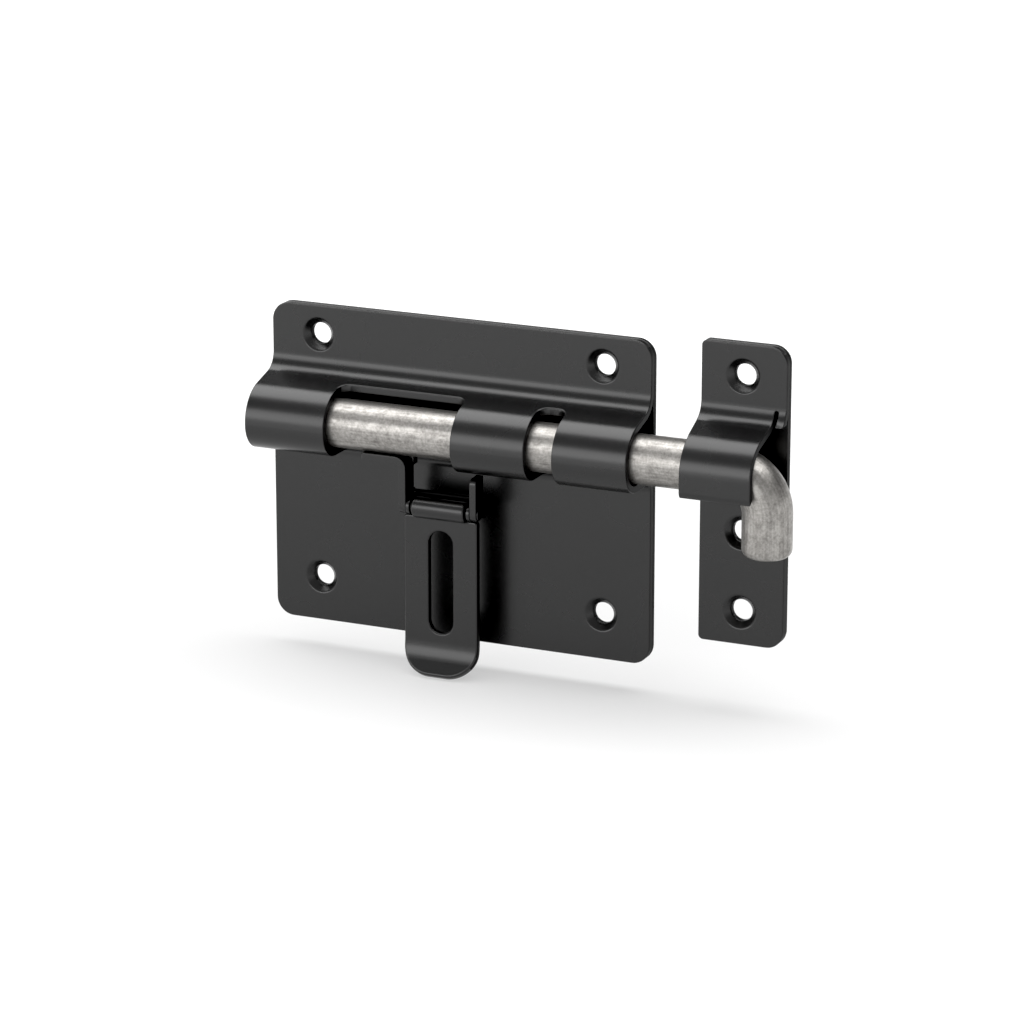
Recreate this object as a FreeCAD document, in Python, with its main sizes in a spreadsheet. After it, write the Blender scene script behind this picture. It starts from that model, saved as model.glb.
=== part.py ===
"""Sliding-bolt gate lock with a hanging hasp and a separate keeper.

Frame: X runs along the bolt towards the keeper, Z is up, the screwed backs lie
on Y = 0 and the front of the lock looks along -Y. The origin is the centre of
the back face of the main back plate. All lengths are millimetres.
"""
import FreeCAD, Part
import math
import os
import Sketcher
from FreeCAD import Vector

doc = FreeCAD.newDocument("gate_lock")

# Every size of the lock, by name. "depth" is measured forwards from the back face.
SIZES = {
    # main plates
    "plate_width": 100.0, "plate_height": 80.0, "plate_corner": 4.5,
    "back_thick": 1.5, "sheet_thick": 1.8,
    "screw_x": 37.5, "screw_top": 32.8, "screw_low": 28.8,
    "screw_bore": 5.3, "sink_wide": 8.4,
    # knuckles formed in the front sheet
    "rod_depth": 10.75, "rod_height": 13.5, "rod_radius": 6.0,
    "channel_half": 6.45, "channel_low": 6.2, "nose_inside": 7.5, "foot_inside": 5.2,
    "shelf_slope": 16.0, "root_outside": 4.6, "foot_outside": 2.4,
    "window_back": 8.6, "window_foot": 5.0, "window_corner": 2.6,
    "window_one_left": -28.8, "window_one_right": 4.7,
    "window_two_left": 23.8, "window_two_right": 31.0,
    # bolt rod
    "rod_left": -47.5, "leg_x": 82.4, "bend_radius": 9.4, "leg_end": -6.4,
    "leg_round": 2.2, "rod_chamfer": 0.8,
    # hasp bracket welded under the rod
    "bracket_x": -0.7, "bracket_wide": 20.4, "bracket_thick": 1.8,
    "bracket_back": 7.2, "bracket_bend": 2.6,
    "web_top": 4.4, "web_low": -1.0, "web_step": 15.3, "weld_seat": 0.3,
    "tab_left": -21.0, "tab_bend": 3.0, "eye_radius": 1.8, "ear_round": 1.6,
    # hinge pin and hasp
    "pin_depth": 12.6, "pin_height": -4.6, "pin_radius": 1.1,
    "pin_head_radius": 1.5, "pin_head_thick": 0.3, "pin_play": 0.05,
    "collar_rim": 0.1, "collar_wide": 0.9, "hasp_play": 0.15,
    "barrel_radius": 2.6, "barrel_gap_left": 0.7, "barrel_gap_right": 0.3,
    "leaf_depth": 11.7, "hasp_wide": 19.5, "hasp_thick": 2.0,
    "hasp_corner": 1.0, "hasp_tip_round": 7.5, "curl_start": -37.8, "curl_radius": 10.5,
    "curl_angle": 34.0, "curl_lip": 3.2,
    "slot_wide": 6.3, "slot_top": -10.2, "slot_low": -36.0,
    # keeper
    "keeper_left": 62.5, "keeper_right": 83.9, "keeper_top": 41.9, "keeper_low": -31.5,
    "keeper_corner": 4.2, "keeper_left_corner": 1.2,
    "strap_left": 63.3, "strap_right": 81.0, "strap_taper": 2.6,
    "lip_start": 9.2, "lip_turn": 35.0, "lip_inside": 0.8, "lip_edge": 0.2,
    "relief_wide": 0.9, "relief_top": 26.6, "rail_low": 23.4,
    "keeper_screw_x": 73.0, "keeper_screw_one": 34.2, "keeper_screw_two": -3.9,
    "keeper_screw_three": -23.4, "facing_top": 5.0,
    # how far a cutter reaches past the face that it cuts
    "past": 1.0,
}

sheet = doc.addObject("Spreadsheet::Sheet", "sizes")
for row, (alias, value) in enumerate(SIZES.items(), start=1):
    sheet.set(f"A{row}", alias)
    sheet.set(f"B{row}", str(value))
    sheet.setAlias(f"B{row}", alias)
doc.recompute()


def size(name):
    """Value of one size of the sheet."""
    return float(getattr(sheet, name))


def value_of(text):
    """Number that an expression over the sheet gives, used for first positions."""
    return float(sheet.evalExpression(text))


def on_sheet(text):
    """Expression with each size name pointed at the sheet."""
    words = sorted(SIZES, key=len, reverse=True)
    out = ""
    k = 0
    while k < len(text):
        fresh = k == 0 or not (text[k - 1].isalnum() or text[k - 1] in "_.")
        hit = next((w for w in words if fresh and text.startswith(w, k)
                    and not (text[k + len(w):k + len(w) + 1].isalnum()
                             or text[k + len(w):k + len(w) + 1] == "_")), None)
        out += f"sizes.{hit}" if hit else text[k]
        k += len(hit) if hit else 1
    return out


def bind(thing, **properties):
    """Set properties of an object to expressions over the sheet."""
    for name, text in properties.items():
        thing.setExpression(name, on_sheet(text))


def new_body(name):
    """Empty part-design body."""
    return doc.addObject("PartDesign::Body", name)


def new_sketch(body, name, role):
    """Sketch of a body on one of the body's own origin planes."""
    sketch = body.newObject("Sketcher::SketchObject", name)
    plane = next(f for f in body.Origin.OriginFeatures if f.Role == role)
    sketch.AttachmentSupport = [(plane, "")]
    sketch.MapMode = "FlatFace"
    return sketch


def rounded_polygon(sketch, corners):
    """Closed outline whose corner points are driven by the sheet.

    Each corner is (x, y, radius) as expressions; radius None keeps it sharp.
    """
    points = [Vector(value_of(on_sheet(x)), value_of(on_sheet(y)), 0) for x, y, _ in corners]
    radii = [0.0 if r is None else value_of(on_sheet(r)) for _, _, r in corners]
    count = len(corners)
    starts, ends, centres = [], [], []
    for k in range(count):
        before = (points[k - 1] - points[k]).normalize()
        after = (points[(k + 1) % count] - points[k]).normalize()
        half = before.getAngle(after) / 2
        reach = radii[k] / math.tan(half)
        starts.append(points[k] + before * reach)
        ends.append(points[k] + after * reach)
        centres.append(points[k] + (before + after).normalize() * (radii[k] / math.sin(half)))
    lines = [sketch.addGeometry(Part.LineSegment(ends[k], starts[(k + 1) % count]), False)
             for k in range(count)]
    for k in range(count):
        line_in, line_out = lines[k - 1], lines[k]
        x_text, y_text, r_text = corners[k]
        if r_text is None:
            sketch.addConstraint(Sketcher.Constraint("Coincident", line_in, 2, line_out, 1))
            holder, spot = line_out, 1
        else:
            a, b, c = starts[k] - centres[k], ends[k] - centres[k], centres[k]
            turn = a.x * b.y - a.y * b.x > 0
            first, last = (a, b) if turn else (b, a)
            circle = Part.Circle(c, Vector(0, 0, 1), radii[k])
            arc = sketch.addGeometry(Part.ArcOfCircle(
                circle, math.atan2(first.y, first.x), math.atan2(last.y, last.x)), False)
            sketch.addConstraint([
                Sketcher.Constraint("Tangent", line_in, 2, arc, 1 if turn else 2),
                Sketcher.Constraint("Tangent", line_out, 1, arc, 2 if turn else 1)])
            number = sketch.addConstraint(Sketcher.Constraint("Radius", arc, radii[k]))
            sketch.setExpression(f"Constraints[{number}]", on_sheet(r_text))
            holder = sketch.addGeometry(Part.Point(points[k]), True)
            spot = 1
            sketch.addConstraint([Sketcher.Constraint("PointOnObject", holder, 1, line_in),
                                  Sketcher.Constraint("PointOnObject", holder, 1, line_out)])
        for kind, number, text in (("DistanceX", points[k].x, x_text),
                                   ("DistanceY", points[k].y, y_text)):
            made = sketch.addConstraint(Sketcher.Constraint(kind, -1, 1, holder, spot, number))
            sketch.setExpression(f"Constraints[{made}]", on_sheet(text))


def circles(sketch, rounds):
    """Circles given as (x, y, radius) expressions."""
    for x_text, y_text, r_text in rounds:
        x, y, r = (value_of(on_sheet(t)) for t in (x_text, y_text, r_text))
        circle = sketch.addGeometry(Part.Circle(Vector(x, y, 0), Vector(0, 0, 1), r), False)
        for kind, number, text in (("DistanceX", x, x_text), ("DistanceY", y, y_text)):
            made = sketch.addConstraint(Sketcher.Constraint(kind, -1, 1, circle, 3, number))
            sketch.setExpression(f"Constraints[{made}]", on_sheet(text))
        made = sketch.addConstraint(Sketcher.Constraint("Radius", circle, r))
        sketch.setExpression(f"Constraints[{made}]", on_sheet(r_text))


def pad(body, sketch, name, length, offset=None, reverse=False):
    """Pad a sketch by an expression; offset moves the sketch plane along its normal."""
    if offset is not None:
        bind(sketch, **{"AttachmentOffset.Base.z": offset})
    made = body.newObject("PartDesign::Pad", name)
    made.Profile = sketch
    made.Reversed = reverse
    bind(made, Length=length)
    return made


def side_pad(name, corners, width, middle="0"):
    """Body with a side profile (depth, height) padded along X about a middle."""
    body = new_body(name)
    sketch = new_sketch(body, name + "_profile", "YZ_Plane")
    rounded_polygon(sketch, [(f"-({d})", h, r) for d, h, r in corners])
    pad(body, sketch, name + "_pad", width, offset=f"({middle}) - ({width}) / 2")
    return body


def front_pad(name, corners, near, deep, holes=()):
    """Body with a front outline (x, height) padded from one depth to another."""
    body = new_body(name)
    sketch = new_sketch(body, name + "_outline", "XZ_Plane")
    rounded_polygon(sketch, corners)
    circles(sketch, holes)
    pad(body, sketch, name + "_pad", f"({deep}) - ({near})", offset=near)
    return body


def common(name, *shapes):
    """Overlap of several solids."""
    made = doc.addObject("Part::MultiCommon", name)
    made.Shapes = list(shapes)
    return made


def fuse(name, *shapes):
    """Union of several solids."""
    made = doc.addObject("Part::MultiFuse", name)
    made.Shapes = list(shapes)
    return made


def cut(name, base, tool):
    """One solid less another."""
    made = doc.addObject("Part::Cut", name)
    made.Base = base
    made.Tool = tool
    return made


def box(name, x0, x1, d0, d1, z0, z1):
    """Box between limits in x, depth and height."""
    made = doc.addObject("Part::Box", name)
    bind(made, Length=f"({x1}) - ({x0})", Width=f"({d1}) - ({d0})", Height=f"({z1}) - ({z0})",
         **{"Placement.Base.x": x0, "Placement.Base.y": f"-({d1})", "Placement.Base.z": z0})
    return made


def cylinder_x(name, radius, x0, x1, depth, height):
    """Cylinder along X between two x values."""
    made = doc.addObject("Part::Cylinder", name)
    made.Placement = FreeCAD.Placement(Vector(0, 0, 0), FreeCAD.Rotation(Vector(0, 1, 0), 90))
    bind(made, Radius=radius, Height=f"({x1}) - ({x0})",
         **{"Placement.Base.x": x0, "Placement.Base.y": f"-({depth})", "Placement.Base.z": height})
    return made


def screw_seats(name, seats, front):
    """Countersunk screw holes: a bore and a cone each, the cone opening to the front."""
    parts = []
    for k, (x, z) in enumerate(seats, start=1):
        bore = doc.addObject("Part::Cylinder", f"{name}_bore_{k}")
        cone = doc.addObject("Part::Cone", f"{name}_cone_{k}")
        for piece in (bore, cone):
            piece.Placement = FreeCAD.Placement(
                Vector(0, 0, 0), FreeCAD.Rotation(Vector(1, 0, 0), 90))
        bind(bore, Radius="screw_bore / 2", Height=f"{front} + 2 * past",
             **{"Placement.Base.x": x, "Placement.Base.y": "past", "Placement.Base.z": z})
        bind(cone, Radius1="screw_bore / 2", Radius2="sink_wide / 2 + past",
             Height="sink_wide / 2 - screw_bore / 2 + past",
             **{"Placement.Base.x": x, "Placement.Base.z": z,
                "Placement.Base.y": f"-({front}) + sink_wide / 2 - screw_bore / 2"})
        parts += [bore, cone]
    return fuse(name, *parts)


def rectangle(x0, x1, z0, z1, radius):
    """Corners of an upright rectangle with one corner radius."""
    return [(x0, z0, radius), (x1, z0, radius), (x1, z1, radius), (x0, z1, radius)]


FRONT = "back_thick + sheet_thick"
SLOPE = "(shelf_slope * 1 deg)"
NOSE = "rod_depth + channel_half + sheet_thick"
INSIDE = f"{NOSE} - sheet_thick"
FOOT = "rod_height - channel_low - sheet_thick"


def shelf(depth, drop):
    """Height of the shelf's upper face at a depth, less a drop across its thickness."""
    return (f"rod_height + (channel_half + sheet_thick - ({drop})) / cos{SLOPE}"
            f" + (rod_depth - ({depth})) * tan{SLOPE}")


# Main back plate
main_seats = [("-screw_x", "screw_top"), ("screw_x", "screw_top"),
              ("-screw_x", "-screw_low"), ("screw_x", "-screw_low")]
half_wide, half_high = "plate_width / 2", "plate_height / 2"
outline = rectangle(f"-{half_wide}", half_wide, f"-{half_high}", half_high, "plate_corner")
back_plate = front_pad("back_plate", outline, "0", "back_thick",
                       [(x, z, "screw_bore / 2") for x, z in main_seats])

# Front sheet: upper flange, sloping shelf, round nose, foot and lower flange
wrap = side_pad("knuckle_wrap", [
    (FRONT, half_high, None),
    (FRONT, shelf(FRONT, "0"), "root_outside"),
    (NOSE, shelf(NOSE, "0"), "nose_inside + sheet_thick"),
    (NOSE, FOOT, "foot_inside + sheet_thick"),
    (FRONT, FOOT, "foot_outside"),
    (FRONT, f"-{half_high}", None),
    ("back_thick", f"-{half_high}", None),
    ("back_thick", f"{FOOT} + sheet_thick", "foot_outside + sheet_thick"),
    (INSIDE, f"{FOOT} + sheet_thick", "foot_inside"),
    (INSIDE, shelf(INSIDE, "sheet_thick"), "nose_inside"),
    ("back_thick", shelf("back_thick", "sheet_thick"), "root_outside + sheet_thick"),
    ("back_thick", half_high, None)], "plate_width")
wrap_outline = front_pad("knuckle_outline", outline, "0", f"{NOSE} + past")
windows = new_body("knuckle_windows")
for label in ("one", "two"):
    left, right = f"window_{label}_left", f"window_{label}_right"
    for part, back, high in (("shelf", "window_back", "plate_height / 2"),
                             ("foot", "window_foot", "rod_height")):
        view = new_sketch(windows, f"window_{label}_{part}", "XY_Plane")
        rounded_polygon(view, [(left, f"-({NOSE} + past)", None),
                               (right, f"-({NOSE} + past)", None),
                               (right, f"-{back}", "window_corner"),
                               (left, f"-{back}", "window_corner")])
        pad(windows, view, f"window_{label}_{part}_pad", high)
sheet_blank = common("knuckle_blank", wrap, wrap_outline)
sheet_slotted = cut("knuckle_slotted", sheet_blank, windows)
knuckle_sheet = cut("knuckle_sheet", sheet_slotted, screw_seats("main_seats", main_seats, FRONT))

# Bolt rod: a round bar bent down at its free end
rod_body = new_body("bolt_rod")
path = new_sketch(rod_body, "rod_path", "XZ_Plane")
bind(path, **{"AttachmentOffset.Base.z": "rod_depth"})
left, level, leg, end, bend = (size(n) for n in
                               ("rod_left", "rod_height", "leg_x", "leg_end", "bend_radius"))
run = path.addGeometry(Part.LineSegment(Vector(left, level, 0), Vector(leg - bend, level, 0)))
curve = path.addGeometry(Part.ArcOfCircle(
    Part.Circle(Vector(leg - bend, level - bend, 0), Vector(0, 0, 1), bend), 0, math.pi / 2))
drop = path.addGeometry(Part.LineSegment(Vector(leg, level - bend, 0), Vector(leg, end, 0)))
path.addConstraint([Sketcher.Constraint("Tangent", run, 2, curve, 2),
                    Sketcher.Constraint("Tangent", curve, 1, drop, 1),
                    Sketcher.Constraint("Horizontal", run), Sketcher.Constraint("Vertical", drop)])
for kind, geometry, spot, text in (("DistanceX", run, 1, "rod_left"),
                                   ("DistanceY", run, 1, "rod_height"),
                                   ("DistanceX", drop, 2, "leg_x"),
                                   ("DistanceY", drop, 2, "leg_end")):
    made = path.addConstraint(Sketcher.Constraint(kind, -1, 1, geometry, spot,
                                                  value_of(on_sheet(text))))
    path.setExpression(f"Constraints[{made}]", on_sheet(text))
made = path.addConstraint(Sketcher.Constraint("Radius", curve, bend))
path.setExpression(f"Constraints[{made}]", on_sheet("bend_radius"))
section = new_sketch(rod_body, "rod_section", "YZ_Plane")
bind(section, **{"AttachmentOffset.Base.z": "rod_left"})
circles(section, [("-rod_depth", "rod_height", "rod_radius")])
rod_pipe = rod_body.newObject("PartDesign::AdditivePipe", "rod_pipe")
rod_pipe.Profile = section
rod_pipe.Spine = (path, ["Edge1", "Edge2", "Edge3"])
doc.recompute()


def round_edge(pipe, centre):
    """Name of the circular edge of the pipe that is centred on a point."""
    for k, edge in enumerate(pipe.Shape.Edges, start=1):
        if isinstance(edge.Curve, Part.Circle) and (edge.Curve.Center - centre).Length < 0.01 \
                and abs(edge.Curve.Radius - size("rod_radius")) < 0.01:
            return f"Edge{k}"
    raise RuntimeError("no round edge there")


leg_fillet = rod_body.newObject("PartDesign::Fillet", "leg_round_edge")
leg_fillet.Base = (rod_pipe, [round_edge(rod_pipe, Vector(leg, -size("rod_depth"), end))])
bind(leg_fillet, Radius="leg_round")
doc.recompute()
left_chamfer = rod_body.newObject("PartDesign::Chamfer", "rod_left_chamfer")
left_chamfer.Base = (leg_fillet, [round_edge(leg_fillet, Vector(left, -size("rod_depth"), level))])
bind(left_chamfer, Size="rod_chamfer")

# Hasp bracket: two ears with round eyes and a web, and a tab bent out under the rod
b_left = "bracket_x - bracket_wide / 2"
b_right = "bracket_x + bracket_wide / 2"
bracket_front = "pin_depth + eye_radius"
web_front = "bracket_back + bracket_thick"
under_rod = "rod_height - rod_radius + weld_seat"
channel = new_body("bracket_channel")
plan = new_sketch(channel, "bracket_plan", "XY_Plane")
rounded_polygon(plan, [
    (b_left, f"-({bracket_front})", None),
    (f"{b_left} + bracket_thick", f"-({bracket_front})", None),
    (f"{b_left} + bracket_thick", f"-({web_front})", "bracket_bend - bracket_thick"),
    (f"{b_right} - bracket_thick", f"-({web_front})", "bracket_bend - bracket_thick"),
    (f"{b_right} - bracket_thick", f"-({bracket_front})", None),
    (b_right, f"-({bracket_front})", None),
    (b_right, "-bracket_back", "bracket_bend"), (b_left, "-bracket_back", "bracket_bend")])
pad(channel, plan, "bracket_channel_pad", f"{under_rod} - pin_height + eye_radius",
    offset="pin_height - eye_radius")
ears = side_pad("bracket_side", [
    (bracket_front, under_rod, None), ("bracket_back", under_rod, None),
    ("bracket_back", "web_low", None), (web_front, "web_low", None),
    ("pin_depth - eye_radius", "pin_height - eye_radius", "eye_radius * 0.9"),
    (bracket_front, "pin_height - eye_radius", "eye_radius * 0.99")],
    "bracket_wide", "bracket_x")
ear_blank = common("bracket_ears", channel, ears)
step_wide = "bracket_wide - web_step + past"
ear_step = cut("bracket_stepped", ear_blank, side_pad("bracket_step", [
    ("bracket_back - past", f"{under_rod} + past", None), ("bracket_back - past", "web_top", None),
    (bracket_front, "web_top", "ear_round"), (bracket_front, "web_top - ear_round - past", None),
    (f"{bracket_front} + past", "web_top - ear_round - past", None),
    (f"{bracket_front} + past", f"{under_rod} + past", None)],
    step_wide, f"{b_right} + past - ({step_wide}) / 2"))
tab = front_pad("bracket_tab", [
    ("tab_left", under_rod, None), ("tab_left", f"{under_rod} - bracket_thick", None),
    (b_left, f"{under_rod} - bracket_thick", "tab_bend - bracket_thick"),
    (b_left, "web_low", None), (f"{b_left} + bracket_thick", "web_low", None),
    (f"{b_left} + bracket_thick", under_rod, "tab_bend")],
    "bracket_back + bracket_bend", bracket_front)
ear_open = cut("bracket_opened", ear_step, box(
    "bracket_corner", f"{b_left} - past", f"{b_left} + bracket_thick + past",
    "bracket_back + bracket_bend", f"{bracket_front} + past",
    f"{under_rod} - tab_bend", f"{under_rod} + past"))
bracket_solid = fuse("bracket_fused", ear_open, tab)
pin_hole = cylinder_x("bracket_pin_hole", "pin_radius", f"{b_left} - past", f"{b_right} + past",
                      "pin_depth", "pin_height")
rod_seat = cylinder_x("bracket_rod_seat", "rod_radius", "tab_left - past", f"{b_right} + past",
                      "rod_depth", "rod_height")
hasp_bracket = cut("hasp_bracket", cut("bracket_seated", bracket_solid, rod_seat), pin_hole)

# Hinge pin with a collar inside each ear and both ends peened to a low head
collar_radius = "eye_radius + collar_rim"
collar_left = f"{b_left} + bracket_thick + collar_wide"
collar_right = f"{b_right} - bracket_thick - collar_wide"
pin_steps = [
    ("shank", "pin_radius", b_left, b_right),
    ("head_left", "pin_head_radius", f"{b_left} - pin_head_thick", b_left),
    ("head_right", "pin_head_radius", b_right, f"{b_right} + pin_head_thick"),
    ("collar_left", collar_radius, f"{b_left} + bracket_thick", collar_left),
    ("collar_right", collar_radius, collar_right, f"{b_right} - bracket_thick")]
hinge_pin = fuse("hinge_pin", *(cylinder_x(f"pin_{part}", radius, x0, x1, "pin_depth", "pin_height")
                                for part, radius, x0, x1 in pin_steps))

# Hasp: rolled barrel, slotted leaf and a tip curled forwards
h_left = "bracket_x - hasp_wide / 2"
h_right = "bracket_x + hasp_wide / 2"
barrel_left = f"{collar_left} + barrel_gap_left"
barrel_right = f"{collar_right} - barrel_gap_right"
hasp_top = f"pin_height - ({collar_radius}) - hasp_play"
CURL = "(curl_angle * 1 deg)"
lip = "(curl_lip + past)"
mid_d = f"leaf_depth + curl_radius * (1 - cos{CURL}) + {lip} * sin{CURL}"
mid_h = f"curl_start - curl_radius * sin{CURL} - {lip} * cos{CURL}"
half_t = "hasp_thick / 2"
bend_out = f"tan({CURL} / 2)"
leaf_side = side_pad("hasp_side", [
    (f"leaf_depth - {half_t}", "pin_height", None),
    (f"leaf_depth + {half_t}", "pin_height", None),
    (f"leaf_depth + {half_t}", f"curl_start - (curl_radius - {half_t}) * {bend_out}",
     f"curl_radius - {half_t}"),
    (f"{mid_d} + {half_t} * cos{CURL}", f"{mid_h} + {half_t} * sin{CURL}", None),
    (f"{mid_d} - {half_t} * cos{CURL}", f"{mid_h} - {half_t} * sin{CURL}", None),
    (f"leaf_depth - {half_t}", f"curl_start - (curl_radius + {half_t}) * {bend_out}",
     f"curl_radius + {half_t}")],
    "hasp_wide", "bracket_x")
leaf_top = front_pad("hasp_shoulders", [
    (h_left, f"{mid_h} - {half_t} - past", None), (h_right, f"{mid_h} - {half_t} - past", None),
    (h_right, hasp_top, "hasp_corner"), (barrel_right, hasp_top, None),
    (barrel_right, "pin_height + barrel_radius", None),
    (barrel_left, "pin_height + barrel_radius", None),
    (barrel_left, hasp_top, None), (h_left, hasp_top, "hasp_corner")],
    "leaf_depth - hasp_thick", f"{mid_d} + hasp_thick")

# The tip's outline is cut square to the curled lip, so its plane leans with the lip
tip_low = f"-(curl_radius * sin{CURL} + curl_lip)"
leaf_tip = front_pad("hasp_tip", [
    (h_left, tip_low, "hasp_tip_round"), (h_right, tip_low, "hasp_tip_round"),
    (h_right, "-curl_start", None), (h_left, "-curl_start", None)],
    "curl_start", "-curl_start")
leaf_tip.Placement = FreeCAD.Placement(
    Vector(0, 0, 0), FreeCAD.Rotation(Vector(-1, 0, 0), size("curl_angle")))
bind(leaf_tip, **{"Placement.Rotation.Angle": "curl_angle", "Placement.Base.y": "-leaf_depth",
                  "Placement.Base.z": "curl_start"})
slot = front_pad("hasp_slot", [
    ("bracket_x - slot_wide / 2", "slot_low", "slot_wide * 0.49"),
    ("bracket_x + slot_wide / 2", "slot_low", "slot_wide * 0.49"),
    ("bracket_x + slot_wide / 2", "slot_top", "slot_wide * 0.49"),
    ("bracket_x - slot_wide / 2", "slot_top", "slot_wide * 0.49")],
    "leaf_depth - hasp_thick", "leaf_depth + hasp_thick")
leaf = cut("hasp_slotted", common("hasp_leaf", leaf_side, leaf_top, leaf_tip), slot)
barrel = cylinder_x("hasp_barrel", "barrel_radius", barrel_left, barrel_right,
                    "pin_depth", "pin_height")
hasp_bore = cylinder_x("hasp_bore", "pin_radius + pin_play", f"{h_left} - past", f"{h_right} + past",
                       "pin_depth", "pin_height")
hasp = cut("hasp", fuse("hasp_solid", leaf, barrel), hasp_bore)

# Keeper: back plate with three screws, and a folded hook sheet over its upper part
keeper_outline = [
    ("keeper_left", "keeper_low", "keeper_left_corner"),
    ("keeper_right", "keeper_low", "keeper_corner"),
    ("keeper_right", "keeper_top", "keeper_corner"),
    ("keeper_left", "keeper_top", "keeper_left_corner")]
top_seat = [("keeper_screw_x", "keeper_screw_one")]
low_seats = [("keeper_screw_x", "keeper_screw_two"), ("keeper_screw_x", "keeper_screw_three")]
keeper_blank = front_pad("keeper_blank", keeper_outline, "0", "back_thick",
                         [("keeper_screw_x", "keeper_screw_one", "screw_bore / 2")])
keeper_facing = front_pad("keeper_facing", [
    ("keeper_left", "keeper_low", "keeper_left_corner"),
    ("keeper_right", "keeper_low", "keeper_corner"), ("keeper_right", "facing_top", None),
    ("keeper_left", "facing_top", None)], "back_thick", FRONT)
keeper_plate = cut("keeper_plate", fuse("keeper_doubled", keeper_blank, keeper_facing),
                   screw_seats("keeper_low_seats", low_seats, FRONT))
LIP = "(lip_turn * 1 deg)"
lip_outside = "(lip_inside + sheet_thick)"


def lip_depth(radius):
    """Depth of the turned lip's end on the face that has this bend radius."""
    return f"{NOSE} - {lip_outside} + {radius} * cos{LIP} - lip_edge * sin{LIP}"


def lip_height(radius):
    """Height of the turned lip's end on the face that has this bend radius."""
    return f"lip_start - {radius} * sin{LIP} - lip_edge * cos{LIP}"


hook_side = side_pad("hook_side", [
    (FRONT, "keeper_top", None),
    (FRONT, shelf(FRONT, "0"), "root_outside"),
    (NOSE, shelf(NOSE, "0"), "nose_inside + sheet_thick"),
    (NOSE, f"lip_start - {lip_outside} * tan({LIP} / 2)", lip_outside),
    (lip_depth(lip_outside), lip_height(lip_outside), None),
    (lip_depth("lip_inside"), lip_height("lip_inside"), None),
    (INSIDE, f"lip_start - lip_inside * tan({LIP} / 2)", "lip_inside"),
    (INSIDE, shelf(INSIDE, "sheet_thick"), "nose_inside"),
    ("back_thick", shelf("back_thick", "sheet_thick"), "root_outside + sheet_thick"),
    ("back_thick", "keeper_top", None)],
    "keeper_right - keeper_left", "keeper_left / 2 + keeper_right / 2")
relief = "strap_right + relief_wide"
hook_view = front_pad("hook_outline", [
    ("keeper_left", "keeper_top", "keeper_left_corner"), ("keeper_left", "rail_low", None),
    ("strap_left", "rail_low - strap_taper", None),
    ("strap_left", f"lip_start - {lip_outside} - past", None),
    ("strap_right", f"lip_start - {lip_outside} - past", None),
    ("strap_right", "relief_top", "relief_wide * 0.45"),
    (relief, "relief_top", "relief_wide * 0.45"), (relief, "rail_low", None),
    ("keeper_right", "rail_low", None), ("keeper_right", "keeper_top", "keeper_corner")],
    "0", f"{NOSE} + past")
hook_blank = common("hook_blank", hook_side, hook_view)
keeper_hook = cut("keeper_hook", hook_blank, screw_seats("keeper_top_seat", top_seat, FRONT))

doc.recompute()
NODES = {"back_plate": back_plate, "knuckle_sheet": knuckle_sheet, "bolt_rod": rod_body,
         "hasp_bracket": hasp_bracket, "hinge_pin": hinge_pin, "hasp": hasp,
         "keeper_plate": keeper_plate, "keeper_hook": keeper_hook}

for thing in doc.Objects:
    if "Invalid" in thing.State or "Error" in thing.State:
        raise RuntimeError(f"{thing.Name}: {thing.State}")
os.makedirs("parts", exist_ok=True)
for node, thing in NODES.items():
    shape = thing.Shape
    if shape.isNull() or not shape.isValid() or len(shape.Solids) != 1:
        raise RuntimeError(f"{node}: not one valid solid")
    shape.exportStep(f"parts/{node}.step")
    limits = shape.BoundBox
    print(f"{node:14s} volume {shape.Volume:9.1f}  x {limits.XMin:7.2f} {limits.XMax:7.2f}"
          f"  y {limits.YMin:7.2f} {limits.YMax:7.2f}  z {limits.ZMin:7.2f} {limits.ZMax:7.2f}")
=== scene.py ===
"""Sliding-bolt gate lock, dressed and lit as a studio picture.

Lengths are in metres, except where a description says millimetres, in the frame of
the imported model: X runs along the bolt towards the keeper, Z is up, the screwed backs
lie on Y = 0 and the front looks along -Y.
"""

import logging
import math
from dataclasses import dataclass, field
from enum import Enum

import bpy
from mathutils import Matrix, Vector


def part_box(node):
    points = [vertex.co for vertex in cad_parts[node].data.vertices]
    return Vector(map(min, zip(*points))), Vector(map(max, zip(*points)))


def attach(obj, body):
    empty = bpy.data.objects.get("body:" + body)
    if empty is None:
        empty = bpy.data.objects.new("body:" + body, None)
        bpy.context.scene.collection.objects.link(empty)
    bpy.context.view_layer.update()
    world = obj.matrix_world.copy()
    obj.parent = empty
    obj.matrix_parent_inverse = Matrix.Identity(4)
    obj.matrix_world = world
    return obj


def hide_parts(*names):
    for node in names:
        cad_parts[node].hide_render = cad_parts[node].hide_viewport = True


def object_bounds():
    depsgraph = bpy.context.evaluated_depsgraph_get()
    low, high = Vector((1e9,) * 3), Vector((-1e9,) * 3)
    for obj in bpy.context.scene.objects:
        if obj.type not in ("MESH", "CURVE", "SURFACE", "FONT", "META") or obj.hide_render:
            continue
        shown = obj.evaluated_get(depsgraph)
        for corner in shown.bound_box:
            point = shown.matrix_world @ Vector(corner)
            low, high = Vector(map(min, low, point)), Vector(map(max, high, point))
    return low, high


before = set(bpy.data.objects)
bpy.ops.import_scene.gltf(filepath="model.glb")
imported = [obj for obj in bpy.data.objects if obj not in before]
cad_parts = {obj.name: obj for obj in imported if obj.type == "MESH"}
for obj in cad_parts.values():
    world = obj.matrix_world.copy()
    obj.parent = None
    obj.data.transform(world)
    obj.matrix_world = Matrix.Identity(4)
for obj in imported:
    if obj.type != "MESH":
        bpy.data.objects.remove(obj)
CAD_LOW, CAD_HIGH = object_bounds()

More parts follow.
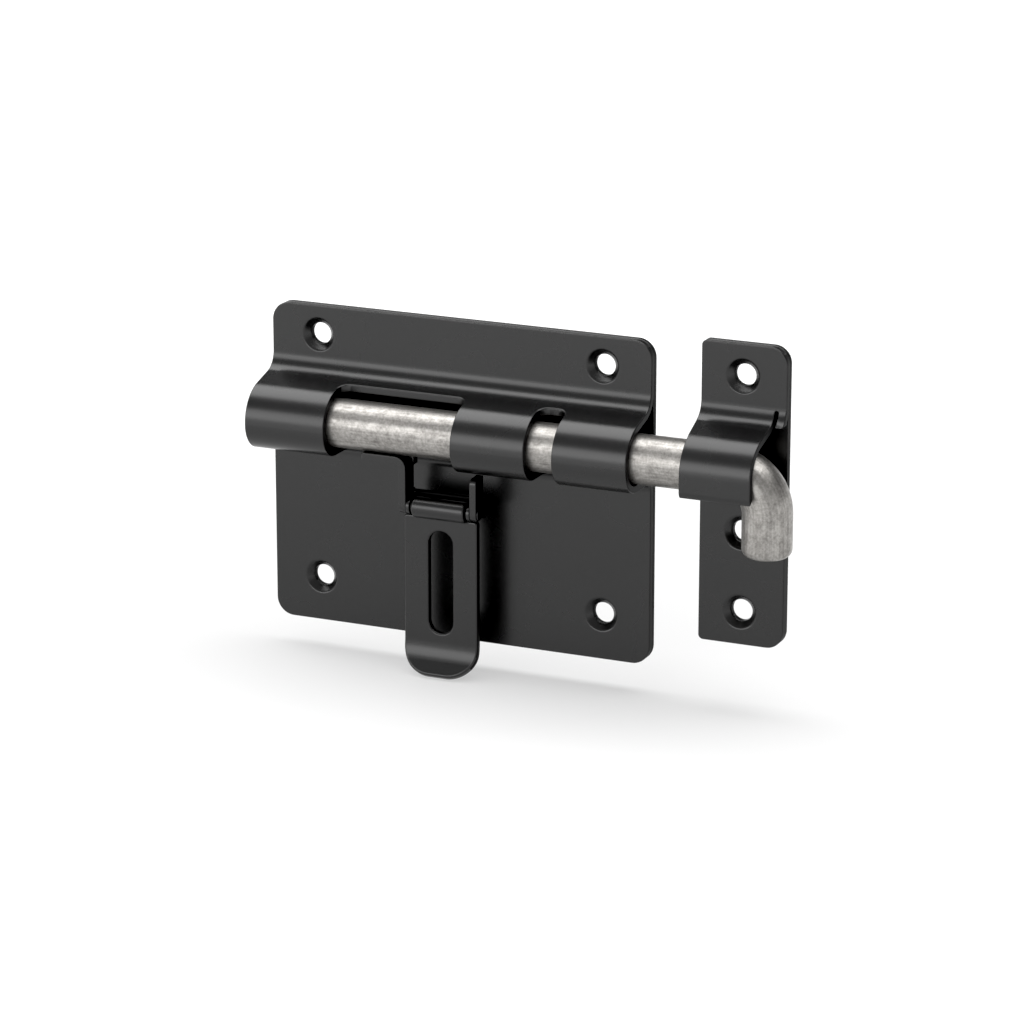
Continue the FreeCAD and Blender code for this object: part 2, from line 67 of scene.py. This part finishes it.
logging.basicConfig(level=logging.INFO, format="%(name)s: %(message)s")
log = logging.getLogger("gate_lock")

MM = 0.001
WHITE = (1.0, 1.0, 1.0, 1.0)
UNROLLED = "unrolled"

Colour = tuple[float, float, float]
Range = tuple[float, float]
EdgeKey = tuple[int, int]


class Slot(Enum):
    """Material slots of the record."""

    BLACK_COAT = "black_coat"
    BARE_STEEL = "bare_steel"


def only(obj: bpy.types.Object) -> None:
    """Make one object the only selected and the active one.

    Args:
        obj: The object to select.
    """
    bpy.ops.object.select_all(action="DESELECT")
    obj.select_set(True)
    bpy.context.view_layer.objects.active = obj


@dataclass(frozen=True)
class Noise:
    """Size and grain of a noise texture.

    Attributes:
        scale: Waves per metre.
        detail: Number of octaves.
        roughness: Share that each octave keeps.
    """

    scale: float
    detail: float = 2.0
    roughness: float = 0.5


class NodeTree:
    """Small helper that adds shader nodes and links them.

    Attributes:
        PROPERTY: Start of the names of inputs that are properties of the node.
        MIX_FACTOR: Number of the mix node's factor input.
        MIX_FIRST: Number of its first colour input.
        MIX_SECOND: Number of its second colour input.
        MIX_RESULT: Number of its colour output.
        tree: The node tree.
    """

    PROPERTY = "set_"
    MIX_FACTOR, MIX_FIRST, MIX_SECOND, MIX_RESULT = 0, 6, 7, 2

    def __init__(self, owner: bpy.types.Material | bpy.types.World) -> None:
        """Give a material or a world an empty node tree.

        Args:
            owner: The material or world.
        """
        owner.use_nodes = True
        self.tree = owner.node_tree
        self.tree.nodes.clear()

    def add(self, kind: str, **inputs: object) -> bpy.types.Node:
        """Add a node and set or link its inputs.

        Args:
            kind: Blender's type name of the node.
            inputs: A value or an output socket for each input. Its name is the
                input's, with underscores for spaces, or an underscore and the
                input's number. A name with a leading "set_" names a property of
                the node instead.

        Returns:
            The new node.
        """
        node = self.tree.nodes.new(kind)
        for name in [name for name in inputs if name.startswith(self.PROPERTY)]:
            setattr(node, name.removeprefix(self.PROPERTY), inputs.pop(name))
        for name, value in inputs.items():
            number = name.removeprefix("_")
            socket = node.inputs[int(number) if number.isdigit() else name.replace("_", " ")]
            if isinstance(value, bpy.types.NodeSocket):
                self.tree.links.new(value, socket)
            else:
                socket.default_value = value
        return node

    def noise(self, where: bpy.types.NodeSocket, noise: Noise) -> bpy.types.NodeSocket:
        """Add a noise texture.

        Args:
            where: Coordinates in metres.
            noise: Its size and grain.

        Returns:
            The factor, from 0 to 1.
        """
        return self.add("ShaderNodeTexNoise", Vector=where, Scale=noise.scale,
                        Detail=noise.detail, Roughness=noise.roughness).outputs[0]

    def between(self, factor: bpy.types.NodeSocket, low: float, high: float,
                to_low: float, to_high: float) -> bpy.types.NodeSocket:
        """Map a factor from one range to another.

        Args:
            factor: Value to map.
            low: Start of the range it comes from.
            high: End of the range it comes from.
            to_low: Value at the start.
            to_high: Value at the end.

        Returns:
            The mapped value.
        """
        return self.add("ShaderNodeMapRange", Value=factor, From_Min=low, From_Max=high,
                        To_Min=to_low, To_Max=to_high).outputs[0]

    def blend(self, factor: bpy.types.NodeSocket, first: Colour,
              second: Colour) -> bpy.types.NodeSocket:
        """Mix two colours.

        Args:
            factor: Share of the second colour.
            first: Colour at 0.
            second: Colour at 1.

        Returns:
            The mixed colour.
        """
        mix = self.tree.nodes.new("ShaderNodeMix")
        mix.data_type = "RGBA"
        self.tree.links.new(factor, mix.inputs[self.MIX_FACTOR])
        mix.inputs[self.MIX_FIRST].default_value = (*first, 1.0)
        mix.inputs[self.MIX_SECOND].default_value = (*second, 1.0)
        return mix.outputs[self.MIX_RESULT]


@dataclass(frozen=True)
class PowderCoat:
    """Satin black powder coat with a faint orange peel.

    Attributes:
        name: Name of the material.
        dark: Its colour where the clouds are thinnest.
        light: Its colour where they are thickest.
        roughness: Roughness where the clouds are thin and where they are thick.
        gloss: Specular level of the shader.
        index: Index of refraction.
        cloud: Slow change of colour and roughness.
        cloud_range: Values of the clouds between which the roughness changes.
        peel: Waves of the orange peel.
        peel_strength: How much the peel bends the reflections.
        peel_height: Height of the peel.
    """

    name: str = "satin_black_coat"
    dark: Colour = (0.0010, 0.0010, 0.0010)
    light: Colour = (0.0018, 0.0018, 0.0019)
    roughness: Range = (0.25, 0.29)
    gloss: float = 0.5
    index: float = 1.51
    cloud: Noise = Noise(70.0, 3.0)
    cloud_range: Range = (0.2, 0.8)
    peel: Noise = Noise(1300.0)
    peel_strength: float = 0.015
    peel_height: float = 0.02 * MM

    def build(self) -> bpy.types.Material:
        """Make the material.

        Returns:
            The node material, on object coordinates.
        """
        material = bpy.data.materials.new(self.name)
        nodes = NodeTree(material)
        place = nodes.add("ShaderNodeTexCoord").outputs["Object"]
        cloud = nodes.noise(place, self.cloud)
        peel = nodes.noise(place, self.peel)
        rough = nodes.between(cloud, *self.cloud_range, *self.roughness)
        bump = nodes.add("ShaderNodeBump", Strength=self.peel_strength,
                         Distance=self.peel_height, Height=peel)
        shader = nodes.add(
            "ShaderNodeBsdfPrincipled", Base_Color=nodes.blend(cloud, self.dark, self.light),
            Roughness=rough, Specular_IOR_Level=self.gloss, IOR=self.index, Metallic=0.0,
            Normal=bump.outputs[0])
        nodes.add("ShaderNodeOutputMaterial", Surface=shader.outputs[0])
        return material


@dataclass(frozen=True)
class DrawnBar:
    """Bare drawn steel bar: pale mottling with long faint draw lines.

    Attributes:
        name: Name of the material.
        dark: Its colour where the tone is 0.
        light: Its colour where the tone is 1.
        roughness: Roughness in the dark patches and in the light ones.
        patch: Large mottles.
        speck: Small mottles.
        line: Draw lines, before they are stretched.
        line_stretch: Share of their waves that the lines keep along the bar.
        noise_range: Values between which patches, specks and lines change the tone.
        patch_share: What the patches add to the tone.
        speck_share: What the specks add to it.
        line_share: What the lines add to it.
        bump_strength: How much the tone bends the reflections.
        bump_height: Height of that bump.
    """

    name: str = "bare_drawn_steel"
    dark: Colour = (0.098, 0.091, 0.085)
    light: Colour = (0.455, 0.442, 0.42)
    roughness: Range = (0.46, 0.32)
    patch: Noise = Noise(420.0, 4.0, 0.65)
    speck: Noise = Noise(1700.0, 3.0, 0.7)
    line: Noise = Noise(1500.0)
    line_stretch: float = 0.05
    noise_range: Range = (0.3, 0.7)
    patch_share: float = 0.36
    speck_share: float = 0.36
    line_share: float = 0.28
    bump_strength: float = 0.04
    bump_height: float = 0.02 * MM

    def build(self) -> bpy.types.Material:
        """Make the material.

        Returns:
            The node material, on the bar's own unrolled coordinates.
        """
        material = bpy.data.materials.new(self.name)
        nodes = NodeTree(material)
        place = nodes.add("ShaderNodeTexCoord").outputs["Object"]
        unrolled = nodes.add("ShaderNodeAttribute", set_attribute_name=UNROLLED)
        stretched = nodes.add("ShaderNodeMapping", Vector=unrolled.outputs["Vector"],
                              Scale=(self.line_stretch, 1.0, 1.0)).outputs[0]
        patch = nodes.noise(place, self.patch)
        tone = nodes.between(patch, *self.noise_range, 0.0, self.patch_share)
        for noise, share in ((nodes.noise(place, self.speck), self.speck_share),
                             (nodes.noise(stretched, self.line), self.line_share)):
            more = nodes.between(noise, *self.noise_range, 0.0, share)
            tone = nodes.add("ShaderNodeMath", set_operation="ADD", _0=tone, _1=more).outputs[0]
        rough = nodes.between(patch, *self.noise_range, *self.roughness)
        bump = nodes.add("ShaderNodeBump", Strength=self.bump_strength,
                         Distance=self.bump_height, Height=tone)
        shader = nodes.add(
            "ShaderNodeBsdfPrincipled", Base_Color=nodes.blend(tone, self.dark, self.light),
            Roughness=rough, Metallic=1.0, Normal=bump.outputs[0])
        nodes.add("ShaderNodeOutputMaterial", Surface=shader.outputs[0])
        return material


@dataclass
class EdgeRoom:
    """Finds how far each sharp edge of a mesh can be rounded before faces overlap.

    Attributes:
        mesh: The mesh, with flat fields as single faces.
        sharp: Smallest angle, in radians, between two faces that meet in a sharp edge.
        tight: Share of a chain of edges that may have less room than the chain is given.
        shared: Share of the way to another sharp edge that a rounding may take.
        alone: Share of the way to a smooth edge, or of the radius of a corner's arc.
        probes: Places along an edge from which the way is measured.
        arc_turns: Least and most turn, in radians, between two edges of a corner's arc.
        PARALLEL: Sine of an angle that counts as none.
        ON_THE_SPOT: Distance that counts as none.
        PAST_THE_END: Share of a segment that a ray may pass its end by.
    """

    mesh: bpy.types.Mesh
    sharp: float
    tight: float = 0.08
    shared: float = 0.42
    alone: float = 0.8
    probes: tuple[float, ...] = (0.1, 0.5, 0.9)
    arc_turns: Range = (0.02, math.pi / 3)
    PARALLEL = 1e-12
    ON_THE_SPOT = 1e-9
    PAST_THE_END = 1e-6

    def measure(self, most: float) -> list[float]:
        """Measure the room at every edge.

        Args:
            most: Width that no rounding goes over.

        Returns:
            A width for each edge of the mesh, and 0 for the edges that aren't sharp.
        """
        faces = self.faces_at_edges()
        turned = {key for key, pair in faces.items() if len(pair) == 2
                  and pair[0].normal.angle(pair[1].normal, 0.0) > self.sharp}
        room = dict.fromkeys(turned, most)
        for face in self.mesh.polygons:
            self.narrow(face, turned, room)
        for chain in self.chains(turned):
            length = {key: self.length(key) for key in chain}
            passed, spare = 0.0, self.tight * sum(length.values())
            for key in sorted(chain, key=room.get):
                passed += length[key]
                if passed >= spare:
                    break
            room.update(dict.fromkeys(chain, room[key]))
        return [room.get(edge.key, 0.0) for edge in self.mesh.edges]

    def length(self, key: EdgeKey) -> float:
        """Length of an edge.

        Args:
            key: Numbers of its two vertices.

        Returns:
            The length.
        """
        first, second = (self.mesh.vertices[v].co for v in key)
        return (first - second).length

    @staticmethod
    def chains(turned: set[EdgeKey]) -> list[set[EdgeKey]]:
        """Join the sharp edges that follow one another without a branch.

        Args:
            turned: Keys of the sharp edges.

        Returns:
            One set of keys for each chain.
        """
        touching = {}
        for key in turned:
            for vertex in key:
                touching.setdefault(vertex, []).append(key)
        left, found = set(turned), []
        while left:
            chain, ends = set(), [left.pop()]
            while ends:
                key = ends.pop()
                chain.add(key)
                for vertex in key:
                    if len(touching[vertex]) == 2:
                        ends += [near for near in touching[vertex] if near in left]
                        left -= set(touching[vertex])
            found.append(chain)
        return found

    def faces_at_edges(self) -> dict[EdgeKey, list[bpy.types.MeshPolygon]]:
        """List the faces at each edge.

        Returns:
            The faces, for each pair of vertex numbers.
        """
        faces = {}
        for face in self.mesh.polygons:
            for key in face.edge_keys:
                faces.setdefault(key, []).append(face)
        return faces

    def narrow(self, face: bpy.types.MeshPolygon, turned: set[EdgeKey],
               room: dict[EdgeKey, float]) -> None:
        """Lower the room of a face's sharp edges to what the face leaves them.

        Args:
            face: The face.
            turned: Keys of the sharp edges.
            room: Room of each sharp edge, which is changed.
        """
        points = [self.mesh.vertices[v].co for v in face.vertices]
        keys = list(face.edge_keys)
        across = face.normal.cross(points[1] - points[0]).normalized()
        along = across.cross(face.normal)
        flat = [Vector((p.dot(along), p.dot(across))) for p in points]
        count = len(flat)
        for i, key in enumerate(keys):
            if key not in turned:
                continue
            start, end = flat[i], flat[(i + 1) % count]
            side = end - start
            inward = Vector((-side.y, side.x)).normalized()
            others = [(i + step) % count for step in range(2, count - 1)]
            for share in self.probes:
                origin = start + side * share
                for j in others:
                    reach = self.hit(origin, inward, flat[j], flat[(j + 1) % count])
                    limit = self.shared if keys[j] in turned else self.alone
                    room[key] = min(room[key], reach * limit)
            if keys[i - 1] in turned:
                before = start - flat[i - 1]
                turn = math.atan2(before.cross(side), before.dot(side))
                if self.arc_turns[0] < turn < self.arc_turns[1]:
                    arc = (before + side).length / (2 * math.sin(turn))
                    for near in (key, keys[i - 1]):
                        room[near] = min(room[near], arc * self.alone)

    def hit(self, origin: Vector, inward: Vector, start: Vector, end: Vector) -> float:
        """Distance along a ray to a segment in the plane.

        Args:
            origin: Start of the ray.
            inward: Its direction, of length 1.
            start: One end of the segment.
            end: The other end.

        Returns:
            The distance, or infinity where the ray passes the segment.
        """
        side = end - start
        slant = inward.cross(side)
        if abs(slant) < self.PARALLEL:
            return math.inf
        reach = (start - origin).cross(side) / slant
        place = (start - origin).cross(inward) / slant
        on_segment = -self.PAST_THE_END <= place <= 1 + self.PAST_THE_END
        return reach if reach > self.ON_THE_SPOT and on_segment else math.inf


@dataclass
class LockPiece:
    """A rigid piece with its edges eased as coating and handling leave them.

    Attributes:
        node: The solid that the piece stands for.
        body: The body that it rides on.
        material: Its finish.
        slot: Its slot in the record; not used.
        side: Painted shade: a darker, almost mirrorless copy of its finish on its faces that
            look along the rod, where one is given.
        ease: Width of the eased edge.
        segments: Number of faces across the eased edge.
        sharp: Smallest angle, in degrees, between two faces that meet in an edge.
        join: Distance up to which points are one.
        obj: The object, once it is built.
        FLAT_DEGREES: Angle up to which two triangles become one face.
        SMOOTH_DEGREES: How far the angle of smooth shading goes beyond the sharp one.
        NORMAL_WEIGHT: Pull of the large faces on the shading, where 50 is none.
        SIDEWAYS: Share of a face's normal along the rod from which it looks along it.
        SHADE_INDEX: Number of the painted-shade material on the faces that look along the rod.
    """

    node: str
    body: str
    material: bpy.types.Material
    slot: Slot
    side: bpy.types.Material | None = None
    ease: float = 0.25 * MM
    segments: int = 3
    sharp: float = 30.0
    join: float = 0.002 * MM
    obj: bpy.types.Object | None = field(default=None, repr=False)
    FLAT_DEGREES = 0.4
    SMOOTH_DEGREES = 10.0
    NORMAL_WEIGHT = 80
    SIDEWAYS = 0.8
    SHADE_INDEX = 1

    def build(self) -> bpy.types.Object:
        """Make the piece, finish its edges, hide the solid that it stands for and put it on its
        body.

        Returns:
            The finished object.
        """
        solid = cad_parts[self.node]
        self.obj = bpy.data.objects.new(self.node + "_finished", solid.data.copy())
        bpy.context.scene.collection.objects.link(self.obj)
        only(self.obj)
        self.merge()
        self.shape()
        self.ease_edges()
        self.dress()
        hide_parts(self.node)
        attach(self.obj, self.body)
        log.info("%s: %d faces, on %s", self.obj.name, len(self.obj.data.polygons), self.body)
        return self.obj

    def merge(self) -> None:
        """Join the loose triangles and turn flat fields of them into single faces."""
        bpy.ops.object.mode_set(mode="EDIT")
        bpy.ops.mesh.select_all(action="SELECT")
        bpy.ops.mesh.remove_doubles(threshold=self.join)
        bpy.ops.mesh.dissolve_degenerate(threshold=self.join)
        bpy.ops.mesh.dissolve_limited(angle_limit=math.radians(self.FLAT_DEGREES),
                                      use_dissolve_boundaries=False)
        bpy.ops.object.mode_set(mode="OBJECT")

    def shape(self) -> None:
        """Change the piece before its edges are eased, where it needs that."""

    def ease_edges(self) -> None:
        """Round each sharp edge as far as it has room and keep flat faces flat in shading."""
        room = EdgeRoom(self.obj.data, math.radians(self.sharp)).measure(self.ease)
        weights = self.obj.data.attributes.new("bevel_weight_edge", "FLOAT", "EDGE")
        for entry, width in zip(weights.data, room):
            entry.value = width / self.ease
        bevel = self.obj.modifiers.new("ease", "BEVEL")
        bevel.width = self.ease
        bevel.segments = self.segments
        bevel.limit_method = "WEIGHT"
        bevel.use_clamp_overlap = False
        bevel.loop_slide = False
        bevel.miter_outer = "MITER_ARC"
        bpy.ops.object.modifier_apply(modifier=bevel.name)
        smooth = math.radians(self.sharp + self.SMOOTH_DEGREES)
        bpy.ops.object.shade_smooth_by_angle(angle=smooth)
        weight = self.obj.modifiers.new("weight", "WEIGHTED_NORMAL")
        weight.keep_sharp = True
        weight.weight = self.NORMAL_WEIGHT
        bpy.ops.object.modifier_apply(modifier=weight.name)

    def dress(self) -> None:
        """Give the piece its finish, and paint shade on the faces that look along the rod with
        a darker copy of it.
        """
        self.obj.data.materials.clear()
        self.obj.data.materials.append(self.material)
        # Faces that look along the rod get a darker, almost mirrorless copy of the coat:
        # painted shade, since these faces lie in shade.
        if self.side:
            self.obj.data.materials.append(self.side)
            for face in self.obj.data.polygons:
                if abs(face.normal.x) > self.SIDEWAYS:
                    face.material_index = self.SHADE_INDEX


@dataclass
class ScrewedHalf:
    """Sheets that are screwed down.

    Attributes:
        coat: Finish of the sheets.
        side: Painted shade: the darker, almost mirrorless copy of the coat on their faces that
            look along the rod.
        ease: Width of their eased edges.
        SHEETS: The solids that the sheets stand for.
    """

    coat: bpy.types.Material
    side: bpy.types.Material
    ease: float = 0.3 * MM
    SHEETS = ()

    def build(self) -> None:
        """Build the sheets."""
        for node in self.SHEETS:
            LockPiece(node, "frame", self.coat, Slot.BLACK_COAT, self.side, self.ease).build()


class MainHalf(ScrewedHalf):
    """The half that is screwed to the gate: back plate and folded front sheet."""

    SHEETS = ("back_plate", "knuckle_sheet")


class Keeper(ScrewedHalf):
    """The half that is screwed to the post: doubled plate and folded hook."""

    SHEETS = ("keeper_plate", "keeper_hook")


@dataclass
class BoltRod:
    """The bent bar, with coordinates that follow it round its bend.

    Attributes:
        steel: Its finish.
        radius: Radius of the bar.
        bend: Radius of the bend along the bar's middle.
        ease: Width of the eased edges at its ends.
    """

    steel: bpy.types.Material
    radius: float = 6.0 * MM
    bend: float = 9.4 * MM
    ease: float = 0.2 * MM

    def build(self) -> None:
        """Build the bar and write its unrolled coordinates."""
        piece = LockPiece("bolt_rod", "bolt", self.steel, Slot.BARE_STEEL, ease=self.ease)
        rod = piece.build()
        low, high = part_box("bolt_rod")
        leg = high.x - self.radius
        level = high.z - self.radius
        middle = Vector((leg - self.bend, (low.y + high.y) / 2, level - self.bend))
        unrolled = rod.data.attributes.new(UNROLLED, "FLOAT_VECTOR", "POINT")
        for vertex, entry in zip(rod.data.vertices, unrolled.data):
            entry.vector = self.unroll(vertex.co, middle)

    def unroll(self, point: Vector, middle: Vector) -> Vector:
        """Coordinates along the bar, round it and out from it.

        Args:
            point: A point of the bar.
            middle: Centre of its bend.

        Returns:
            Length along the bar, arc round it and distance from its middle line.
        """
        offset = point - middle
        if offset.x <= 0:
            along, up = offset.x, offset.z - self.bend
        elif offset.z <= 0:
            along, up = self.bend * math.pi / 2 - offset.z, offset.x - self.bend
        else:
            turn = math.atan2(offset.x, offset.z)
            along, up = self.bend * turn, math.hypot(offset.x, offset.z) - self.bend
        angle = math.atan2(up, -offset.y)
        return Vector((along, self.radius * angle, math.hypot(up, offset.y)))


@dataclass(frozen=True)
class Block:
    """A box, in millimetres.

    Attributes:
        across: Its range in X.
        depth: Its range forwards from the screwed backs.
        height: Its range in Z.
    """

    across: Range
    depth: Range
    height: Range

    def build(self) -> bpy.types.Object:
        """Make the box.

        Returns:
            The new object.
        """
        low = Vector((self.across[0], -self.depth[1], self.height[0])) * MM
        high = Vector((self.across[1], -self.depth[0], self.height[1])) * MM
        bpy.ops.object.select_all(action="DESELECT")
        bpy.ops.mesh.primitive_cube_add(size=1.0, location=(low + high) / 2, scale=high - low)
        return bpy.context.object


@dataclass
class HaspBracket(LockPiece):
    """The bracket, with its web low behind the barrel, where the photo's reflections show it.

    The solid has its web above the barrel, where here the plate shows between the ears.

    Attributes:
        ease: Width of the eased edge.
        segments: Number of faces across the eased edge.
        join: Distance up to which points are one, over the slivers that the blocks leave.
        cuts: Blocks that clear the solid's web away above the barrel.
        fills: Blocks that make the low web and the ears' square backs.
        web_front: Depth in metres, up to which the bracket's faces get the darker copy of the
            coat: painted shade in the recess behind the ears.
    """

    ease: float = 0.6 * MM
    segments: int = 4
    join: float = 0.03 * MM
    cuts: tuple[Block, ...] = (
        Block((-12.0, 10.7), (6.2, 9.85), (-8.0, 4.8)),
        Block((-9.1, 7.7), (6.2, 9.85), (4.6, 9.0)),
    )
    fills: tuple[Block, ...] = (
        Block((-10.9, 9.5), (7.8, 9.6), (-6.3, -1.4)),
        Block((-10.9, -9.1), (9.1, 11.4), (-6.3, 4.8)),
        Block((7.7, 9.5), (9.1, 11.4), (-6.3, 4.4)),
        Block((-10.9, -9.1), (11.0, 12.2), (-6.3, -5.8)),
        Block((7.7, 9.5), (11.0, 12.2), (-6.3, -5.8)),
    )
    web_front: float = 9.65 * MM

    def shape(self) -> None:
        """Move the web from the top of the ears to their lower ends."""
        for block in self.cuts:
            self.combine(block, "DIFFERENCE")
        for block in self.fills:
            self.combine(block, "UNION")
        only(self.obj)
        self.merge()

    def dress(self) -> None:
        """Give the piece its finishes, with painted shade on the web: the darker copy of the
        coat.
        """
        super().dress()
        # The web and the faces behind it, in the recess between the ears, get the darker copy
        # of the coat: painted shade.
        for face in self.obj.data.polygons:
            if face.center.y > -self.web_front:
                face.material_index = self.SHADE_INDEX

    def combine(self, block: Block, operation: str) -> None:
        """Take a block out of the piece or add it.

        Args:
            block: The block.
            operation: DIFFERENCE or UNION.
        """
        tool = block.build()
        only(self.obj)
        step = self.obj.modifiers.new("step", "BOOLEAN")
        step.operation = operation
        step.solver = "EXACT"
        step.object = tool
        bpy.ops.object.modifier_apply(modifier=step.name)
        bpy.data.objects.remove(tool, do_unlink=True)


@dataclass
class HaspGroup:
    """Bracket under the rod, its pin and the hanging hasp.

    Attributes:
        coat: Finish of the three pieces.
        side: Painted shade: the darker, almost mirrorless copy of the coat on their faces that
            look along the rod.
        pin_ease: Width of the pin's eased edges.
        hasp_ease: Width of the hasp's eased edges.
        hasp_segments: Number of faces across the hasp's eased edges.
    """

    coat: bpy.types.Material
    side: bpy.types.Material
    pin_ease: float = 0.12 * MM
    hasp_ease: float = 0.6 * MM
    hasp_segments: int = 4

    def build(self) -> None:
        """Build the three pieces."""
        HaspBracket("hasp_bracket", "bolt", self.coat, Slot.BLACK_COAT, self.side).build()
        LockPiece("hinge_pin", "bolt", self.coat, Slot.BLACK_COAT, self.side,
                  self.pin_ease).build()
        LockPiece("hasp", "hasp_leaf", self.coat, Slot.BLACK_COAT, self.side,
                  self.hasp_ease, self.hasp_segments).build()


@dataclass(frozen=True)
class SoftBox:
    """A rectangular lamp that looks at the lock.

    Attributes:
        name: Its name.
        place: Centre of the lamp.
        aim: Point that it looks at.
        wide: Width across.
        high: Height.
        glow: Radiance of its face, where 1 is a white surface in full light.
    """

    name: str
    place: tuple[float, float, float]
    aim: tuple[float, float, float]
    wide: float
    high: float
    glow: float

    def build(self) -> None:
        """Make the lamp."""
        data = bpy.data.lights.new(self.name, "AREA")
        data.shape = "RECTANGLE"
        data.size, data.size_y = self.wide, self.high
        data.energy = self.glow * math.pi * self.wide * self.high
        lamp = bpy.data.objects.new(self.name, data)
        bpy.context.scene.collection.objects.link(lamp)
        lamp.location = self.place
        ray = Vector(self.aim) - lamp.location
        lamp.rotation_euler = ray.to_track_quat("-Z", "Y").to_euler()
        lamp.visible_camera = False
        log.info("%s lit", self.name)


@dataclass
class Studio:
    """Pale floor, soft lamps, sky and camera.

    Attributes:
        floor_size: Side of the floor.
        floor_tone: Share of the light that the floor throws back.
        floor_roughness: Roughness of the floor.
        floor_glow: Light that the floor adds, as a paper lit from behind, near the lock
            and far from it.
        glow_range: Distances from the lock between which that light grows.
        sky_tone: Brightness of the sky overhead, in front and behind.
        sky_sides: How far forwards and back the sky changes from one to the other.
        sky_heights: Heights between which it changes from the white horizon.
        azimuth: Camera's turn from the front, in degrees.
        elevation: Camera's height above the horizon, in degrees.
        distance: Camera's distance from the point that it looks at.
        target: That point.
        lens: Focal length in millimetres.
        sensor: Width of the camera's sensor in millimetres.
        clip: Nearest and farthest distance that the camera sees.
        black_point: Brightness that the picture shows as black.
        boxes: The lamps.
    """

    floor_size: float = 12.0
    floor_tone: float = 0.30
    floor_roughness: float = 0.6
    floor_glow: Range = (0.48, 0.85)
    glow_range: Range = (0.05, 0.35)
    sky_tone: Range = (0.5, 0.05)
    sky_sides: Range = (-0.3, 0.3)
    sky_heights: Range = (0.1, 0.4)
    azimuth: float = 24.1652
    elevation: float = 16.609
    distance: float = 1.0153469
    target: tuple[float, float, float] = (0.0125495, 0.0, -0.0070192)
    lens: float = 147.656
    sensor: float = 36.0
    clip: Range = (0.01, 50.0)
    black_point: float = 0.004
    boxes: tuple[SoftBox, ...] = (
        SoftBox("front_box", (-0.90, -2.0, 0.60), (0.0, 0.0, 0.0), 2.6, 1.02, 3.1),
        SoftBox("top_box", (-0.70, 0.25, 2.0), (-0.70, 0.25, 0.0), 4.8, 1.72, 4.2),
    )

    def build(self) -> None:
        """Build floor, lamps, sky and camera."""
        self.lay_floor()
        for lamp in self.boxes:
            lamp.build()
        self.paint_sky()
        self.place_camera()
        view = bpy.context.scene.view_settings
        view.view_transform = "Standard"
        view.look = "None"
        view.use_curve_mapping = True
        view.curve_mapping.black_level = (self.black_point,) * 3
        view.curve_mapping.update()

    def lay_floor(self) -> None:
        """Lay the floor at the height of the lock's lowest point."""
        bpy.ops.mesh.primitive_plane_add(size=self.floor_size, location=(0, 0, CAD_LOW.z))
        floor = bpy.context.object
        floor.name = "floor"
        material = bpy.data.materials.new("floor_paper")
        nodes = NodeTree(material)
        tone = (self.floor_tone,) * 3
        place = nodes.add("ShaderNodeTexCoord").outputs["Object"]
        away = nodes.add("ShaderNodeVectorMath", set_operation="LENGTH", _0=place)
        glow = nodes.between(away.outputs["Value"], *self.glow_range, *self.floor_glow)
        shader = nodes.add("ShaderNodeBsdfPrincipled", Base_Color=(*tone, 1.0),
                           Roughness=self.floor_roughness, Emission_Color=WHITE,
                           Emission_Strength=glow)
        nodes.add("ShaderNodeOutputMaterial", Surface=shader.outputs[0])
        floor.data.materials.append(material)

    def paint_sky(self) -> None:
        """Paint a sky that is white at the horizon, grey overhead and dark high up behind."""
        world = bpy.data.worlds.new("studio_sky")
        nodes = NodeTree(world)
        ray = nodes.add("ShaderNodeTexCoord").outputs["Generated"]
        parts = nodes.add("ShaderNodeSeparateXYZ", Vector=ray).outputs
        high = nodes.between(parts["Y"], *self.sky_sides, *self.sky_tone)
        low_end, high_end = self.sky_heights
        tone = nodes.add("ShaderNodeMapRange", set_interpolation_type="SMOOTHSTEP",
                         Value=parts["Z"], From_Min=low_end, From_Max=high_end, To_Min=1.0,
                         To_Max=high).outputs[0]
        back = nodes.add("ShaderNodeBackground", Color=WHITE, Strength=tone)
        nodes.add("ShaderNodeOutputWorld", Surface=back.outputs[0])
        bpy.context.scene.world = world

    def place_camera(self) -> None:
        """Put the camera at the picture's viewing angle."""
        data = bpy.data.cameras.new("camera")
        data.sensor_width = self.sensor
        data.lens = self.lens
        data.clip_start, data.clip_end = self.clip
        camera = bpy.data.objects.new("camera", data)
        bpy.context.scene.collection.objects.link(camera)
        turn, tilt = math.radians(self.azimuth), math.radians(self.elevation)
        back = Vector((math.sin(turn) * math.cos(tilt), -math.cos(turn) * math.cos(tilt),
                       math.sin(tilt)))
        camera.location = Vector(self.target) + back * self.distance
        camera.rotation_euler = (-back).to_track_quat("-Z", "Y").to_euler()
        bpy.context.scene.camera = camera


def main() -> None:
    """Build the lock piece by piece, then the studio round it."""
    coat = PowderCoat().build()
    # A darker, almost mirrorless copy of the coat: painted shade for the faces that look along
    # the rod and for the bracket's web.
    side = PowderCoat("painted_shade_black_coat", roughness=(0.44, 0.48), gloss=0.07).build()
    steel = DrawnBar().build()
    MainHalf(coat, side).build()
    BoltRod(steel).build()
    HaspGroup(coat, side).build()
    Keeper(coat, side).build()
    Studio().build()


if __name__ == "__main__":
    main()
